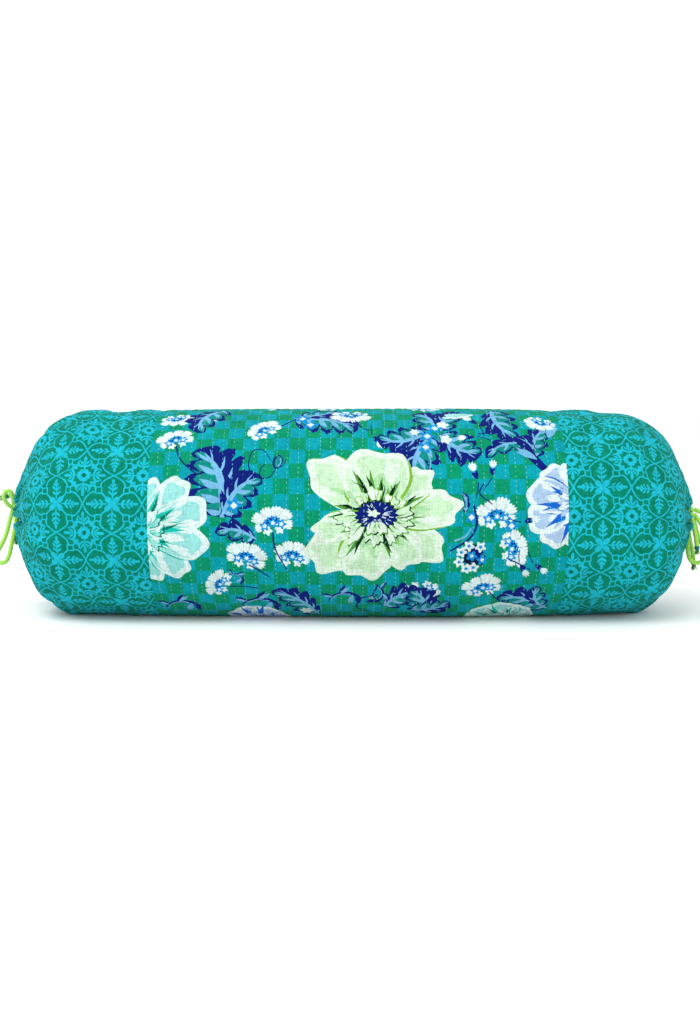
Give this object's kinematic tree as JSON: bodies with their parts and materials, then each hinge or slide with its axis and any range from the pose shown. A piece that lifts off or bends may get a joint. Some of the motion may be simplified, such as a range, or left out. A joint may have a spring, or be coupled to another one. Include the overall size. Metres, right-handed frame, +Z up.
{
  "type": "bolster pillow",
  "caption": "Cylindrical bolster pillow: a quilted floral middle panel between two patterned end panels, each gathered shut over the end of the roll by a drawcord tied in a bow.",
  "frame": {"origin": "on the floor, under the middle of the roll, at the bottom centre of the pillow without its hanging bows", "axes": "+X runs along the roll towards the right-hand bow, +Y to the back, +Z up"},
  "size_m": [0.7594, 0.214, 0.208],
  "materials": {
    "printed_cotton": "slubby woven cotton with a printed checked ground and flowers",
    "end_cotton": "smooth cotton with a small two-tone print",
    "lining_cotton": "plain woven cotton, undyed",
    "inner_cloth": "plain white calico",
    "filling": "loose white polyester fibre",
    "thread": "matt cotton thread",
    "whipping_thread": "fine wound thread",
    "cord": "round braided cotton cord"
  },
  "bodies": {
    "pillow": {"fibre_filling": "filling", "inner_casing_left_disc": "inner_cloth", "inner_casing_left_seam": "thread", "inner_casing_right_disc": "inner_cloth", "inner_casing_right_seam": "thread", "inner_casing_tube": "inner_cloth", "left_back_seam_allowance": "end_cotton", "left_bow_neck": "cord", "left_channel_cord": "cord", "left_channel_stitching": "thread", "left_cord_channel": "end_cotton", "left_end_panel": "end_cotton", "left_panel_seam_allowance": "end_cotton", "left_panel_seam_stitching": "thread", "middle_back_seam_allowance": "end_cotton", "middle_panel": "printed_cotton", "middle_panel_lining": "lining_cotton", "quilting_threads": "thread", "right_back_seam_allowance": "end_cotton", "right_bow_neck": "cord", "right_channel_cord": "cord", "right_channel_stitching": "thread", "right_cord_channel": "end_cotton", "right_end_panel": "end_cotton", "right_panel_seam_allowance": "end_cotton", "right_panel_seam_stitching": "thread"},
    "left_bow": {"left_bow_knot": "cord", "left_bow_short_loop": "cord", "left_bow_short_tail": "cord", "left_bow_short_tail_tuft": "cord", "left_bow_short_tail_whipping": "whipping_thread"},
    "left_hanging_ends": {"left_bow_long_loop": "cord", "left_bow_long_tail": "cord", "left_bow_long_tail_tuft": "cord", "left_bow_long_tail_whipping": "whipping_thread"},
    "right_bow": {"right_bow_knot": "cord"},
    "right_hanging_ends": {"right_bow_long_loop": "cord", "right_bow_long_tail": "cord", "right_bow_long_tail_tuft": "cord", "right_bow_long_tail_whipping": "whipping_thread", "right_bow_short_loop": "cord", "right_bow_short_tail": "cord", "right_bow_short_tail_tuft": "cord", "right_bow_short_tail_whipping": "whipping_thread"}
  },
  "joints": [
    {"name": "left_bow_swing", "type": "hinge", "parent": "pillow", "child": "left_bow", "pos_m": [-0.3515, 0, 0.109], "axis": [1, 0, 0], "range_deg": [-35, 35]},
    {"name": "left_hanging_ends_lift", "type": "hinge", "parent": "left_bow", "child": "left_hanging_ends", "pos_m": [-0.3515, 0, 0.109], "axis": [0, 1, 0], "range_deg": [0, 40]},
    {"name": "right_bow_swing", "type": "hinge", "parent": "pillow", "child": "right_bow", "pos_m": [0.3515, 0, 0.105], "axis": [1, 0, 0], "range_deg": [-35, 35]},
    {"name": "right_hanging_ends_lift", "type": "hinge", "parent": "right_bow", "child": "right_hanging_ends", "pos_m": [0.3515, 0, 0.105], "axis": [0, -1, 0], "range_deg": [0, 40]}
  ]
}
